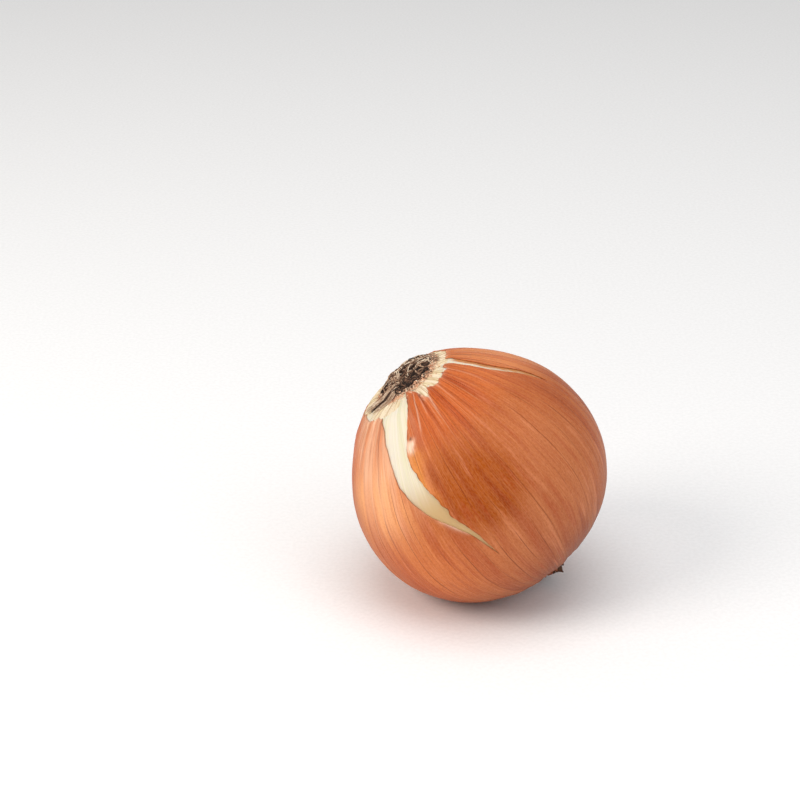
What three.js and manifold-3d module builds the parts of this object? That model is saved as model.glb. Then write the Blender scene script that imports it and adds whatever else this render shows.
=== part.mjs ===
// A yellow onion lying as picked, on its shoulder, with the root end up and leaning to the left.
// It has four pieces: the fleshy bulb, the split papery skin round it, the mat of dried roots on
// the root plate, and the dried leaf stub that stands in the neck.
// Millimetres. +Z is up and the floor is z = 0. The origin is on the floor straight below the
// bulb's centre, inside the small flat spot that the onion rests on. The bulb has a frame of its
// own: its centre, with +Z to the roots. A turn about that axis of -90 degrees faces the front.
import * as THREE from "three";
import { mergeVertices } from "three/addons/utils/BufferGeometryUtils.js";
import Module from "manifold-3d";

// Driving dimensions, in millimetres, and in degrees where the name says so
const LEAN_DEG = 36.3; // of the root end from upright, towards -X
const CENTRE_HEIGHT = 32.5; // of the bulb's centre above the floor; the flat spot comes from it
const LOW_SIDE_FULLNESS = 1.1; // extra reach of the shoulder that the onion lies on
const LOW_SIDE_DEG = 152; // where that is fullest, as an angle from the roots
const LOW_SIDE_SPREAD_DEG = 22;
const SKIN_THICKNESS = 0.7;
const CLEARANCE = 0.3; // between the pieces
const GATHER_DEPTH = 0.35; // of the creases that run in to the neck
const GATHER_DEG = [132, 164]; // angles from the roots where they start and are deepest
const ROOT_FACE_HEIGHT = 33.3; // of the flattened root end above the bulb's centre
const ROOT_FACE_RADIUS = 8.8;
const ROOT_EDGE_ROLL = [-2.2, 0.9]; // pull of the curve between the root end and the round
const NECK_RADIUS = 4;
const NECK_START = 33; // how far below the bulb's centre the neck stands clear of the shoulder
const NECK_END = 34.2;
const NECK_FLARE = [0.2, 0.9]; // pull of the curve where the neck widens to the shoulder
const SHOULDER_TURN_IN = 4.5; // pull of that curve's other end
const NECK_PLUG = 3.2; // solid gathered skin above the neck's start
const COLLAR_POINTS = 60; // round the torn edge of the skin at the roots
const COLLAR_TEAR_DEG = 0.6;
const ROOT_MAT_RADIUS = 8.2;
const ROOT_MAT_SHIFT = [1.2, 2.8]; // of the mat's middle from the axis
const ROOT_MAT_DOME = 3; // rise of the root mat's middle above its seat
const ROOT_MAT_RIM = 0.4; // share of that rise that is left at the rim
const ROOT_COUNT = 40;
const STRAND_COUNT = 6; // long roots that lie out to the collar together
const STRAND_TURN_DEG = -157;
const STRAND_BEND_DEG = -35; // how far its roots swing round between the mat and their tips
const STRAND_REACH = [12.2, 13.1]; // of its roots' tips from the mat's middle
const ROOT_THICKNESS = 0.8;
const STUB_RADIUS = 2.5;
const STUB_END = 36.8; // how far the longest leaf tip reaches below the bulb's centre
const STUB_POINTS = 1.4; // how much longer it is than the shortest
const STUB_SOCKET = 1.4; // depth of the hole in the neck that it stands in

// The round of the bulb from the roots to the shoulder: [angle from the roots in degrees,
// distance from the bulb's centre]
const ROUND = [
  [24, 35.3],
  [36, 34.4],
  [54, 33.8],
  [72, 34.1],
  [90, 34.3],
  [108, 34.3],
  [126, 33.8],
  [143, 32.8],
  [158, 31.8],
];

// Slow waves of the bulb's girth, and the creases at the neck: [share or height in mm, how many
// round the bulb, phase in radians]
const GIRTH_WAVES = [
  [0.28, 3, 0.7],
  [0.2, 5, 2.1],
];
const NECK_PLEATS = [
  [0.6, 11, 0.4],
  [0.4, 17, 1.9],
];

// The torn edge of the skin round the roots: [turn about the axis, angle from the roots], in
// degrees. A tongue of skin reaches up to the roots just right of the wide split.
const COLLAR = [
  [-169, 21],
  [-143, 20.7],
  [-110, 20],
  [-92, 14],
  [-84, 11.4],
  [-76, 11.4],
  [-71, 14.5],
  [-67.5, 21],
  [-64, 24.6],
  [-60, 22.5],
  [-56, 20.8],
  [-48, 23.3],
  [-35, 22.6],
  [-15, 22],
  [10, 22.4],
  [40, 24],
  [100, 26],
  [145, 27],
  [170, 24],
];

// The skin's two splits, from the roots down: [angle from the roots, turn about the axis,
// half the width], in degrees
const WIDE_SPLIT = [
  [9, -108, 24],
  [13, -107.5, 21],
  [20.7, -107.1, 19.8],
  [27, -106.6, 14.3],
  [35, -108, 10.5],
  [43.5, -109.3, 6.9],
  [52, -107.6, 6.7],
  [60.5, -104.6, 5.5],
  [67.8, -101.2, 4.4],
  [73.7, -98.3, 3],
  [86.3, -91.6, 1.4],
  [102, -89.7, 0.25],
];
const NARROW_SPLIT = [
  [13, 0, 10],
  [22, -5.5, 6.9],
  [30, -10.6, 3.7],
  [37.7, -12.5, 1.8],
  [53.5, -8, 1.4],
  [65.3, -6, 0.2],
];

// Mesh fineness
const AROUND_SKIN = 54;
const AROUND_INSIDE = 38;
const ROUND_ROWS = 20; // along the round of the bulb
const ROOT_SIDES = 3;
const ROOT_STEPS = 4;

const radians = THREE.MathUtils.degToRad;

const wasm = await Module();
wasm.setup();

// Repeatable random numbers from 0 to 1
function seeded(seed) {
  let state = seed;
  return () => {
    state = (state * 1664525 + 1013904223) % 4294967296;
    return state / 4294967296;
  };
}

function solidOf(geometry) {
  const bare = new THREE.BufferGeometry();
  bare.setAttribute("position", geometry.getAttribute("position"));
  bare.setIndex(geometry.index);
  const merged = mergeVertices(bare, 1e-4);
  return new wasm.Manifold(
    new wasm.Mesh({
      numProp: 3,
      vertProperties: merged.attributes.position.array,
      triVerts: new Uint32Array(merged.index.array),
    }),
  );
}

function geometryOf(solid) {
  const mesh = solid.getMesh();
  const geometry = new THREE.BufferGeometry();
  geometry.setAttribute("position", new THREE.BufferAttribute(mesh.vertProperties, 3));
  geometry.setIndex(new THREE.BufferAttribute(mesh.triVerts, 1));
  geometry.computeVertexNormals();
  return geometry;
}

// The bulb's outline from the middle of the neck's end up to the middle of the root end, as
// [distance from the axis, height]
function bulbOutline() {
  const round = new THREE.SplineCurve(
    ROUND.map(([angle, reach]) => {
      return new THREE.Vector2(reach * Math.sin(radians(angle)), reach * Math.cos(radians(angle)));
    }),
  );
  const rootEdge = round.getPoint(0);
  const shoulder = round.getPoint(1);
  const turnIn = round.getTangent(1).multiplyScalar(SHOULDER_TURN_IN);
  const neck = new THREE.Vector2(NECK_RADIUS, -NECK_START);
  const flare = new THREE.CubicBezierCurve(
    neck,
    neck.clone().add(new THREE.Vector2(...NECK_FLARE)),
    shoulder.clone().add(turnIn),
    shoulder,
  );
  const rootEnd = new THREE.QuadraticBezierCurve(
    rootEdge,
    rootEdge.clone().add(new THREE.Vector2(...ROOT_EDGE_ROLL)),
    new THREE.Vector2(ROOT_FACE_RADIUS, ROOT_FACE_HEIGHT),
  );
  return [
    new THREE.Vector2(0, -NECK_END),
    new THREE.Vector2(NECK_RADIUS * 0.9, -NECK_END),
    ...flare.getSpacedPoints(6),
    ...round.getSpacedPoints(ROUND_ROWS).reverse().slice(1),
    ...rootEnd.getSpacedPoints(3).slice(1),
    new THREE.Vector2(ROOT_FACE_RADIUS / 2, ROOT_FACE_HEIGHT),
    new THREE.Vector2(0, ROOT_FACE_HEIGHT),
  ];
}

// The outline moved inwards, and closed across the axis where it is nearer to the neck than floor
function insetOutline(points, inset, floor) {
  const moved = points.map((point, i) => {
    const before = points[Math.max(i - 1, 0)];
    const after = points[Math.min(i + 1, points.length - 1)];
    const along = after.clone().sub(before).normalize();
    const onAxis = new THREE.Vector2(0, Math.sign(point.y));
    const outward = point.x === 0 ? onAxis : new THREE.Vector2(along.y, -along.x);
    return point.clone().addScaledVector(outward, -inset);
  });
  if (floor === undefined) return moved;
  const kept = moved.filter((point) => point.y > floor + 0.2);
  return [new THREE.Vector2(0, floor), new THREE.Vector2(kept[0].x - 0.5, floor), ...kept];
}

// A direction from the bulb's centre: angle from the roots and turn about the axis
function direction(angle, turn) {
  return new THREE.Vector3(
    Math.sin(angle) * Math.cos(turn),
    Math.sin(angle) * Math.sin(turn),
    Math.cos(angle),
  );
}

function waveSum(waves, turn) {
  return waves.reduce((sum, [height, count, phase]) => sum + height * Math.cos(count * turn + phase), 0);
}

// The slow waves of the bulb's girth and the fullness of its low side
function swell(angle, turn) {
  const belly = Math.sin(angle) ** 2;
  const off = 1 - direction(angle, turn).dot(direction(radians(LOW_SIDE_DEG), Math.PI));
  const low = Math.exp(-off / (1 - Math.cos(radians(LOW_SIDE_SPREAD_DEG))));
  return belly * waveSum(GIRTH_WAVES, turn) + LOW_SIDE_FULLNESS * low;
}

// The creases that run in to the neck
function gather(angle, turn) {
  const near = THREE.MathUtils.smoothstep(angle, ...GATHER_DEG.map(radians));
  return GATHER_DEPTH * near * waveSum(NECK_PLEATS, turn);
}

// Turns an outline about the axis, and waves and gathers it
function bulbSurface(points, around, gathered) {
  const geometry = new THREE.LatheGeometry(points, around);
  geometry.rotateX(Math.PI / 2);
  const position = geometry.getAttribute("position");
  const point = new THREE.Vector3();
  for (let i = 0; i < position.count; i++) {
    point.fromBufferAttribute(position, i);
    const girth = Math.hypot(point.x, point.y);
    if (girth < 1e-6) continue;
    const angle = Math.atan2(girth, point.z);
    const turn = Math.atan2(point.y, point.x);
    const pleat = gathered ? gather(angle, turn) : 0;
    point.setLength(point.length() + swell(angle, turn) + pleat);
    position.setXYZ(i, point.x, point.y, point.z);
  }
  return solidOf(geometry);
}

// What lies under the flat spot, or under the same plane moved up by a clearance
function ground(clearance) {
  const depth = 20;
  const geometry = new THREE.BoxGeometry(80, 80, depth);
  geometry.translate(0, 0, clearance - CENTRE_HEIGHT - depth / 2);
  geometry.rotateY(radians(LEAN_DEG));
  return solidOf(geometry);
}

// A closed wedge whose edge is a loop on the skin, from inside the hollow to outside the skin. The
// loop is drawn on a flat map whose middle is the roots and on which distance is angle.
function wedge(loop) {
  const inner = ROOT_FACE_HEIGHT * 0.78;
  const outer = ROOT_FACE_HEIGHT * 1.26;
  const map = loop.map(([angle, turn]) => {
    return new THREE.Vector2(angle * Math.cos(turn), angle * Math.sin(turn));
  });
  if (THREE.ShapeUtils.isClockWise(map)) map.reverse();
  const faces = THREE.ShapeUtils.triangulateShape(map, []);
  const count = map.length;
  const positions = [inner, outer].flatMap((reach) =>
    map.flatMap((p) => direction(p.length(), Math.atan2(p.y, p.x)).multiplyScalar(reach).toArray()),
  );
  const index = faces.flatMap(([a, b, c]) => [c, b, a, a + count, b + count, c + count]);
  for (let i = 0; i < count; i++) {
    const next = (i + 1) % count;
    index.push(i, next, next + count, i, next + count, i + count);
  }
  const geometry = new THREE.BufferGeometry();
  geometry.setAttribute("position", new THREE.Float32BufferAttribute(positions, 3));
  geometry.setIndex(index);
  return solidOf(geometry);
}

// The loop round a split: a smooth run down its one edge and back up the other
function splitLoop(stations, steps, roughness, seed) {
  const random = seeded(seed);
  const line = new THREE.CatmullRomCurve3(
    stations.map(([angle, turn, half]) => new THREE.Vector3(angle, turn, half)),
  );
  const points = line.getPoints(steps);
  const edge = (side) =>
    points.map((p) => {
      const rough = roughness * (random() - 0.5);
      return [radians(p.x), radians(p.y + side * (p.z + rough))];
    });
  return [...edge(-1), ...edge(1).reverse()];
}

// The loop of the torn edge round the roots, with teeth on it
function collarLoop() {
  const random = seeded(7);
  const line = new THREE.CatmullRomCurve3(
    COLLAR.map(([turn, angle]) => direction(radians(angle), radians(turn))),
    true,
  );
  return line.getSpacedPoints(COLLAR_POINTS - 1).map((point, i) => {
    const angle = Math.atan2(Math.hypot(point.x, point.y), point.z);
    const tooth = COLLAR_TEAR_DEG * ((i % 2 ? 1 : -1) + 1.2 * (random() - 0.5));
    return [angle + radians(tooth), Math.atan2(point.y, point.x)];
  });
}

function socket(radius, from, to) {
  const geometry = new THREE.CylinderGeometry(radius, radius, to - from, 20);
  geometry.rotateX(Math.PI / 2);
  geometry.translate(0, 0, -(from + to) / 2);
  return solidOf(geometry);
}

const outline = bulbOutline();
const hollowFloor = -(NECK_START - NECK_PLUG);

function papery_skin() {
  const whole = bulbSurface(outline, AROUND_SKIN, true);
  const hollow = bulbSurface(insetOutline(outline, SKIN_THICKNESS, hollowFloor), AROUND_INSIDE, false);
  const cuts = [
    hollow.subtract(ground(SKIN_THICKNESS)),
    wedge(collarLoop()),
    wedge(splitLoop(WIDE_SPLIT, 26, 0.9, 3)),
    wedge(splitLoop(NARROW_SPLIT, 12, 0.4, 5)),
    socket(STUB_RADIUS + CLEARANCE, NECK_START - STUB_SOCKET, NECK_END + 1),
    ground(0),
  ];
  return cuts.reduce((skin, cut) => skin.subtract(cut), whole);
}

function fleshy_bulb() {
  const inset = SKIN_THICKNESS + CLEARANCE;
  const bulb = bulbSurface(insetOutline(outline, inset, hollowFloor + CLEARANCE), AROUND_INSIDE, false);
  return bulb.subtract(ground(inset));
}

// Height of the root mat's domed top above the bulb's centre
const matSeat = ROOT_FACE_HEIGHT - SKIN_THICKNESS;
function matTop(radius) {
  const fall = (1 - ROOT_MAT_RIM) * (radius / ROOT_MAT_RADIUS) ** 2;
  return matSeat + ROOT_MAT_DOME * Math.max(1 - fall, 0);
}

function rootPlate() {
  const rim = ROOT_MAT_RADIUS;
  const profile = [new THREE.Vector2(0, matSeat), new THREE.Vector2(rim * 0.93, matSeat)];
  for (const share of [1, 0.8, 0.55, 0.28, 0]) {
    profile.push(new THREE.Vector2(rim * share, matTop(rim * share)));
  }
  const geometry = new THREE.LatheGeometry(profile, 28);
  geometry.rotateX(Math.PI / 2);
  return solidOf(geometry);
}

function rootAlong(points) {
  const half = ROOT_THICKNESS / 2;
  const corners = Array.from({ length: ROOT_SIDES }, (_, i) => (2 * Math.PI * i) / ROOT_SIDES);
  const section = new THREE.Shape(
    corners.map((corner) => new THREE.Vector2(half * Math.cos(corner), half * Math.sin(corner))),
  );
  const extrudePath = new THREE.CatmullRomCurve3(points);
  return solidOf(new THREE.ExtrudeGeometry(section, { steps: ROOT_STEPS, extrudePath }));
}

// A dried root that leaves the plate, bends over and wanders across the mat
function wanderingRoot(random) {
  const radius = (ROOT_MAT_RADIUS - 1.2) * Math.sqrt(random());
  const turn = 2 * Math.PI * random();
  const heading = 2 * Math.PI * random();
  const stride = 1 + 0.9 * random();
  const bend = 1.6 * (random() - 0.5);
  const lifts = [-0.9, 0.25, 0.25 + 0.55 * random(), 0.2, -0.5];
  const spot = new THREE.Vector2(radius * Math.cos(turn), radius * Math.sin(turn));
  return rootAlong(
    lifts.map((lift, i) => {
      const way = heading + bend * i;
      if (i > 0) spot.add(new THREE.Vector2(Math.cos(way), Math.sin(way)).multiplyScalar(stride));
      if (spot.length() > ROOT_MAT_RADIUS) spot.setLength(ROOT_MAT_RADIUS);
      return new THREE.Vector3(spot.x, spot.y, matTop(spot.length()) + lift);
    }),
  );
}

// A longer root of the strand that lies out over the mat's rim
function strandRoot(random) {
  const turn = radians(STRAND_TURN_DEG) + 0.12 * (random() - 0.5);
  const reach = THREE.MathUtils.lerp(...STRAND_REACH, random());
  const shares = [0, 0.3, 0.6, 0.85, 1];
  return rootAlong(
    shares.map((share) => {
      const radius = 4 + share * (reach - 4);
      const bend = radians(STRAND_BEND_DEG) * (1 - share);
      const way = turn + bend + 0.06 * (random() - 0.5);
      const lift = share === 0 ? -0.8 : 0.35 + 0.2 * random();
      const droop = 0.2 * Math.max(radius - ROOT_MAT_RADIUS, 0);
      const height = matTop(Math.min(radius, ROOT_MAT_RADIUS)) - droop;
      return new THREE.Vector3(radius * Math.cos(way), radius * Math.sin(way), height + lift);
    }),
  );
}

// Fills the small closed pockets that crossing roots leave under them
function outerBody(solid) {
  const bodies = solid.decompose();
  return bodies.reduce((largest, body) => (body.volume() > largest.volume() ? body : largest));
}

function root_tuft() {
  const random = seeded(21);
  let tuft = rootPlate();
  for (let i = 0; i < ROOT_COUNT; i++) tuft = tuft.add(wanderingRoot(random));
  for (let i = 0; i < STRAND_COUNT; i++) tuft = tuft.add(strandRoot(random));
  return outerBody(tuft).translate([...ROOT_MAT_SHIFT, 0]);
}

// The dried leaves in the neck: a pleated, twisted plug that ends in points of uneven length
function leaf_stub() {
  const start = NECK_START - STUB_SOCKET + CLEARANCE;
  const shortest = STUB_END - STUB_POINTS;
  const rows = 6;
  const profile = [new THREE.Vector2(0, -shortest + 0.3)];
  for (let i = 0; i <= rows; i++) {
    const share = i / rows;
    const height = -shortest + share * (shortest - start);
    profile.push(new THREE.Vector2(STUB_RADIUS * (0.5 + 0.5 * Math.sqrt(share)), height));
  }
  profile.push(new THREE.Vector2(0, -start));
  const geometry = new THREE.LatheGeometry(profile, 30);
  geometry.rotateX(Math.PI / 2);
  const position = geometry.getAttribute("position");
  for (let i = 0; i < position.count; i++) {
    const x = position.getX(i);
    const y = position.getY(i);
    const z = position.getZ(i);
    const turn = Math.atan2(y, x) + 0.35 * (z + start);
    const free = THREE.MathUtils.smoothstep(-z, NECK_END - 0.4, shortest);
    const pleat = 1 - 0.2 * (0.4 + 0.6 * free) * (1 + Math.cos(5 * turn));
    const rim = Math.hypot(x, y) / (STUB_RADIUS * 0.5);
    const point = (STUB_POINTS / 2) * free * Math.min(rim, 1) * (1 + Math.cos(3 * turn - 1.2));
    position.setXYZ(i, x * pleat, y * pleat, z - point);
  }
  return solidOf(geometry);
}

function material(color, roughness) {
  return new THREE.MeshStandardMaterial({ color, roughness, metalness: 0 });
}

const onion = new THREE.Group();
onion.rotation.y = -radians(LEAN_DEG);
onion.position.z = CENTRE_HEIGHT;
for (const [build, look] of [
  [papery_skin, material("#cf7440", 0.45)],
  [fleshy_bulb, material("#ede5c2", 0.4)],
  [root_tuft, material("#4a3b31", 0.9)],
  [leaf_stub, material("#8a5c34", 0.8)],
]) {
  const mesh = new THREE.Mesh(geometryOf(build()), look);
  mesh.name = build.name;
  onion.add(mesh);
}
const part = new THREE.Group();
part.add(onion);

export default part;
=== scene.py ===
import math

import bmesh
import bpy
import numpy as np
from mathutils import Matrix, Vector


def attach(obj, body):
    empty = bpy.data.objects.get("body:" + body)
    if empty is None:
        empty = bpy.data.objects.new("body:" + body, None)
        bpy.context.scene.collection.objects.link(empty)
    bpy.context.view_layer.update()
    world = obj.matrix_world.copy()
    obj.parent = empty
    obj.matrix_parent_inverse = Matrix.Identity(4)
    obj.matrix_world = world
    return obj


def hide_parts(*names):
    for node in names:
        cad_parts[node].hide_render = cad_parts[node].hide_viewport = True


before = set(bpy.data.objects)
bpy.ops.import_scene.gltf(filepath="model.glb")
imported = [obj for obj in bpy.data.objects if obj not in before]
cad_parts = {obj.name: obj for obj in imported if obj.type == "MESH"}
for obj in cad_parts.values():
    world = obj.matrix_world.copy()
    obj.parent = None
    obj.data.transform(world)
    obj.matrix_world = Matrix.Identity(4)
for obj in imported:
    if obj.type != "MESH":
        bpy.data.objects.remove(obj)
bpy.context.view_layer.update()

MM = 0.001
LEAN = math.radians(36.3)
CENTRE_HEIGHT = 32.5
BULB_RADIUS = 34.0  # so one radian on the bulb is 34 mm, by which patterns are measured
ROOT_FACE_HEIGHT, ROOT_FACE_RADIUS, ROOT_EDGE_ROLL = 33.3, 8.8, (-2.2, 0.9)
NECK_RADIUS, NECK_START, NECK_END, NECK_FLARE = 4.0, 33.0, 34.2, (0.2, 0.9)
SHOULDER_TURN_IN = 4.5
GATHER_DEPTH, GATHER_DEG = 0.35, (132, 164)
LOW_SIDE_FULLNESS, LOW_SIDE_DEG, LOW_SIDE_SPREAD_DEG = 1.1, 152, 22
GIRTH_WAVES = [(0.28, 3, 0.7), (0.2, 5, 2.1)]
NECK_PLEATS = [(0.6, 11, 0.4), (0.4, 17, 1.9)]
SKIN_SHEET = 0.22  # thickness of the dry skin
FLESH_INSET = 0.27  # the flesh lies right under it
MAT_RADIUS, MAT_SHIFT, MAT_DOME, MAT_RIM = 8.2, (1.2, 2.8), 2.7, 0.4
MAT_SEAT = ROOT_FACE_HEIGHT - 0.7
STUB_END = 36.8

# The round of the bulb: angle from the roots in degrees, distance from the centre
ROUND = [
    (24, 35.3), (36, 34.4), (54, 33.8), (72, 34.1), (90, 34.3), (108, 34.3), (126, 33.8),
    (143, 32.8), (158, 31.8),
]

# The torn edge of the skin round the roots: turn, angle from the roots, in degrees
COLLAR = [
    (-169, 22.2), (-143, 22), (-110, 20.6), (-92, 14), (-84, 11.2), (-76, 11.2), (-71, 14.5),
    (-67.5, 21), (-64, 24.6), (-60, 22.5), (-56, 20.8), (-48, 23.3), (-35, 22.6), (-15, 22),
    (10, 22.4), (40, 24.5), (100, 26.5), (145, 27), (170, 24),
]
COLLAR_DEG = 22  # the usual angle

# The splits: angle from the roots, turn, half the width, in degrees
WIDE_SPLIT = [
    (9, -108, 24), (13, -107.5, 21), (20.7, -107.3, 19.6), (27, -107.0, 14.3),
    (35, -108.6, 10.5), (43.5, -110.2, 6.9), (52, -108.6, 6.8), (60.5, -105.6, 5.9),
    (67.8, -102, 4.9), (72, -99.8, 4.0), (74.5, -98.7, 2.9), (79.3, -95.9, 2.0),
    (86.3, -92.3, 1.15), (95, -90.3, 0.5), (101.5, -89.2, 0.0),
]
NARROW_SPLIT = [
    (13, 0, 10), (22, -5.5, 6.9), (30, -10.4, 4.2), (37.7, -12.2, 3.1),
    (45.5, -11.0, 2.6), (53.5, -8.2, 2.1), (61, -6.6, 1.3), (68, -6, 0.0),
]

# Ridges where the slack skin is drawn up to the roots: places along each, and its height in mm
RIDGES = [
    ([(16.3, -74), (23, -78.9), (29.8, -83.4), (39.3, -88.9)], 0.22),
    ([(21.6, -71.4), (27.1, -74.1), (34, -76.8)], 0.16),
    ([(24.5, -63.6), (31.7, -67.3), (37.5, -69.7)], 0.2),
    ([(23, -48), (30, -51), (38, -53)], 0.12),
    ([(21, -139), (28, -137), (36, -134)], 0.16),
    ([(21, -152), (29, -149), (39, -147)], 0.16),
]

# Soft spots in which the skin has another colour, some of them painted light or shade: strength,
# angle from the roots and turn, spread
TINTS = {
    "amber": [(1.1, (75, -75), 15), (0.72, (65, -84), 21)],
    # partly painted highlight: the upper rosy spot, on the right, stands in for the soft highlight
    # there; the lower one is the skin's salmon tone
    "rosy_and_highlight": [(1, (93, -42), 38), (1, (112, -96), 32)],
    # the left side is lighter, partly as painted light from the lamp on that side and partly
    # because the skin is thin over the pale flesh
    "left_side_lit": [(1.35, (52, -132), 21), (0.25, (88, -134), 26)],
    "low_left": [(1, (100, -124), 32)],
    "top_side": [(1, (44, 16), 24)],
    # painted sheen: pale streaks on the left side where the light catches the fine ridges
    "painted_sheen": [(1.7, (32, -132), 16), (0.6, (60, -128), 20)],
    # painted shade low on the bulb; the browning towards the neck is added with the other tints
    "brown": [(0.45, (118, -118), 14)],
    "gold": [(1, (46, -97), 5)],
}
SCUFFED = [(1, (39.0, -98.6), 2.0), (0.7, (41.6, -99.6), 2.2), (0.4, (37.6, -95.2), 1.6)]
NOTCH = [(1, (36.7, -96.6), 0.7)]


# Shape of the bulb


def smooth(x, low, high):
    """0 up to the low value, 1 from the high one, and a soft step between them."""
    t = np.clip((x - low) / (high - low), 0, 1)
    return t * t * (3 - 2 * t)


def spline_through(points, steps):
    """Points on a smooth curve through the given ones."""
    p = np.array(points, float)
    p = np.vstack([p[0], p, p[-1]])
    out = []
    for i in range(1, len(p) - 2):
        for t in np.arange(steps) / steps:
            a, b, c, d = p[i - 1 : i + 3]
            square, cube = 2 * a - 5 * b + 4 * c - d, 3 * b - 3 * c + d - a
            out.append(0.5 * (2 * b + (c - a) * t + square * t**2 + cube * t**3))
    return np.array(out + [p[-2]])


def bezier(points, steps):
    """Points on the curve from the first point to the last that leans to the ones between."""
    p = [np.array(q, float) for q in points]
    n = len(p) - 1
    t = np.linspace(0, 1, steps)[:, None]
    return sum(math.comb(n, i) * t**i * (1 - t) ** (n - i) * q for i, q in enumerate(p))


def outline():
    """The half section from the middle of the root end to the middle of the neck's end."""
    on_round = [(r * math.sin(math.radians(a)), r * math.cos(math.radians(a))) for a, r in ROUND]
    body = spline_through(on_round, 12)
    run = body[-1] - body[-3]
    run = run / np.linalg.norm(run) * SHOULDER_TURN_IN
    face = (ROOT_FACE_RADIUS, ROOT_FACE_HEIGHT)
    root_end = bezier([face, body[0] + ROOT_EDGE_ROLL, body[0]], 12)
    neck = np.array((NECK_RADIUS, -NECK_START))
    flare = bezier([body[-1], body[-1] + run, neck + NECK_FLARE, neck], 16)
    lip = [(NECK_RADIUS * 0.9, -NECK_END), (0, -NECK_END)]
    return np.vstack([[(0, ROOT_FACE_HEIGHT)], root_end, body[1:], flare[1:], lip])


OUTLINE = outline()
OUTLINE_ANGLE = np.arctan2(OUTLINE[:, 0], OUTLINE[:, 1])
OUTLINE_REACH = np.hypot(OUTLINE[:, 0], OUTLINE[:, 1])
LIP_ANGLE = math.atan2(NECK_RADIUS * 0.9, -NECK_END)


def direction(angle, turn):
    """The way from the bulb's centre to a place."""
    return np.stack([np.sin(angle) * np.cos(turn), np.sin(angle) * np.sin(turn), np.cos(angle)], -1)


def waves(table, turn):
    """Waves round the bulb, each with its height in mm, its count and its phase."""
    return sum(height * np.cos(count * turn + phase) for height, count, phase in table)


def reach(angle, turn, gathered=True):
    """Distance of the bulb's surface from its centre."""
    base = np.interp(angle, OUTLINE_ANGLE, OUTLINE_REACH)
    off = 1 - direction(angle, turn) @ direction(math.radians(LOW_SIDE_DEG), math.pi)
    low = np.exp(-off / (1 - math.cos(math.radians(LOW_SIDE_SPREAD_DEG))))
    out = base + np.sin(angle) ** 2 * waves(GIRTH_WAVES, turn) + LOW_SIDE_FULLNESS * low
    if gathered:
        out = out + GATHER_DEPTH * smooth(np.degrees(angle), *GATHER_DEG) * waves(NECK_PLEATS, turn)
    return out


def ring_height(radius):
    """Height of the root end's surface at a distance from the axis."""
    return np.interp(radius, OUTLINE[:20, 0], OUTLINE[:20, 1])


TO_PART = (
    Matrix.Translation((0, 0, CENTRE_HEIGHT * MM))
    @ Matrix.Rotation(-LEAN, 4, "Y")
    @ Matrix.Scale(MM, 4)
)


def to_part(points, floor=0.0):
    """Points of the bulb's frame in the part's frame, in metres. None is lower than a floor, which
    is in mm and makes the flat spot."""
    m = np.array(TO_PART)
    out = points @ m[:3, :3].T + m[:3, 3]
    out[..., 2] = np.maximum(out[..., 2], floor * MM)
    return out


def wander(x, seed, period=None):
    """Smooth random wandering along one line, from -1 to 1, that may repeat after a period."""
    i = np.floor(x).astype(int)
    t = x - i
    t = t * t * (3 - 2 * t)
    steps = 4096
    table = np.random.default_rng(seed).uniform(-1, 1, steps)
    wrap = period or steps
    return table[i % wrap] * (1 - t) + table[(i + 1) % wrap] * t


def turn_off(turn, at):
    """How far a turn is from another one, in degrees, the shorter way round."""
    return (np.degrees(turn) - at + 180) % 360 - 180


def spots(angle, turn, table):
    """Soft round spots on the bulb. Each has its strength, its place and its spread in degrees."""
    total = 0
    for strength, at, spread in table:
        centre = direction(math.radians(at[0]), math.radians(at[1]))
        off = np.degrees(np.arccos(np.clip(direction(angle, turn) @ centre, -1, 1)))
        total = total + strength * np.exp(-((off / spread) ** 2))
    return total


def torn(turn, seed, count, depth):
    """A torn edge round the bulb: pointed teeth of uneven width and length, within a depth."""
    rng = np.random.default_rng(seed)
    at = np.sort(rng.uniform(0, 360, count))
    return np.interp(np.degrees(turn), at, rng.uniform(-depth, depth, count), period=360)


def collar(turn):
    """Angle from the roots at which the skin begins, in degrees."""
    at, angle = zip(*COLLAR)
    return np.interp(np.degrees(turn), at, angle, period=360)


def split_edges(stations, angle, seed, rough):
    """The two edges' turns at each angle, torn by a rough amount in mm; they meet at the tip."""
    line = spline_through(stations, 14)
    middle = np.radians(np.interp(np.degrees(angle), line[:, 0], line[:, 1]))
    half = np.radians(np.interp(np.degrees(angle), line[:, 0], np.maximum(line[:, 2], 0)))
    run = np.degrees(angle)
    edges = []
    for side, frayed in ((-1, 0.6), (1, 1)):
        tear = 0.5 * wander(run * 0.35 + 40, seed + side) + 0.3 * wander(run * 1.1, seed + 5 + side)
        tear = (tear + 0.2 * wander(run * 3.1, seed + 9 + side)) * smooth(half, 0, math.radians(3))
        across = BULB_RADIUS * np.maximum(np.sin(angle), 0.3)
        edges.append(middle + side * half + rough * frayed * tear / across)
    return edges


def stacked(x, y, z):
    """Places as rows of their x, y and z."""
    return np.stack([x, y, z], -1).reshape(-1, 3)


def with_the_grain(angle, turn):
    """The bulb's own coordinates for patterns that follow its fibres: the turn as a point on a
    circle, and the angle. Near the roots the fibres swing round as they leave them."""
    past_roots = np.maximum(angle - math.radians(15), 0)
    grain = turn + math.radians(12) * (1 - np.exp(-past_roots / math.radians(25)))
    return stacked(np.cos(grain), np.sin(grain), angle)


# Materials


def linear(code):
    """An sRGB hex colour as linear values."""
    rgb = [int(code[i : i + 2], 16) / 255 for i in (1, 3, 5)]
    return tuple(c / 12.92 if c <= 0.04045 else ((c + 0.055) / 1.055) ** 2.4 for c in rgb) + (1.0,)


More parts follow.
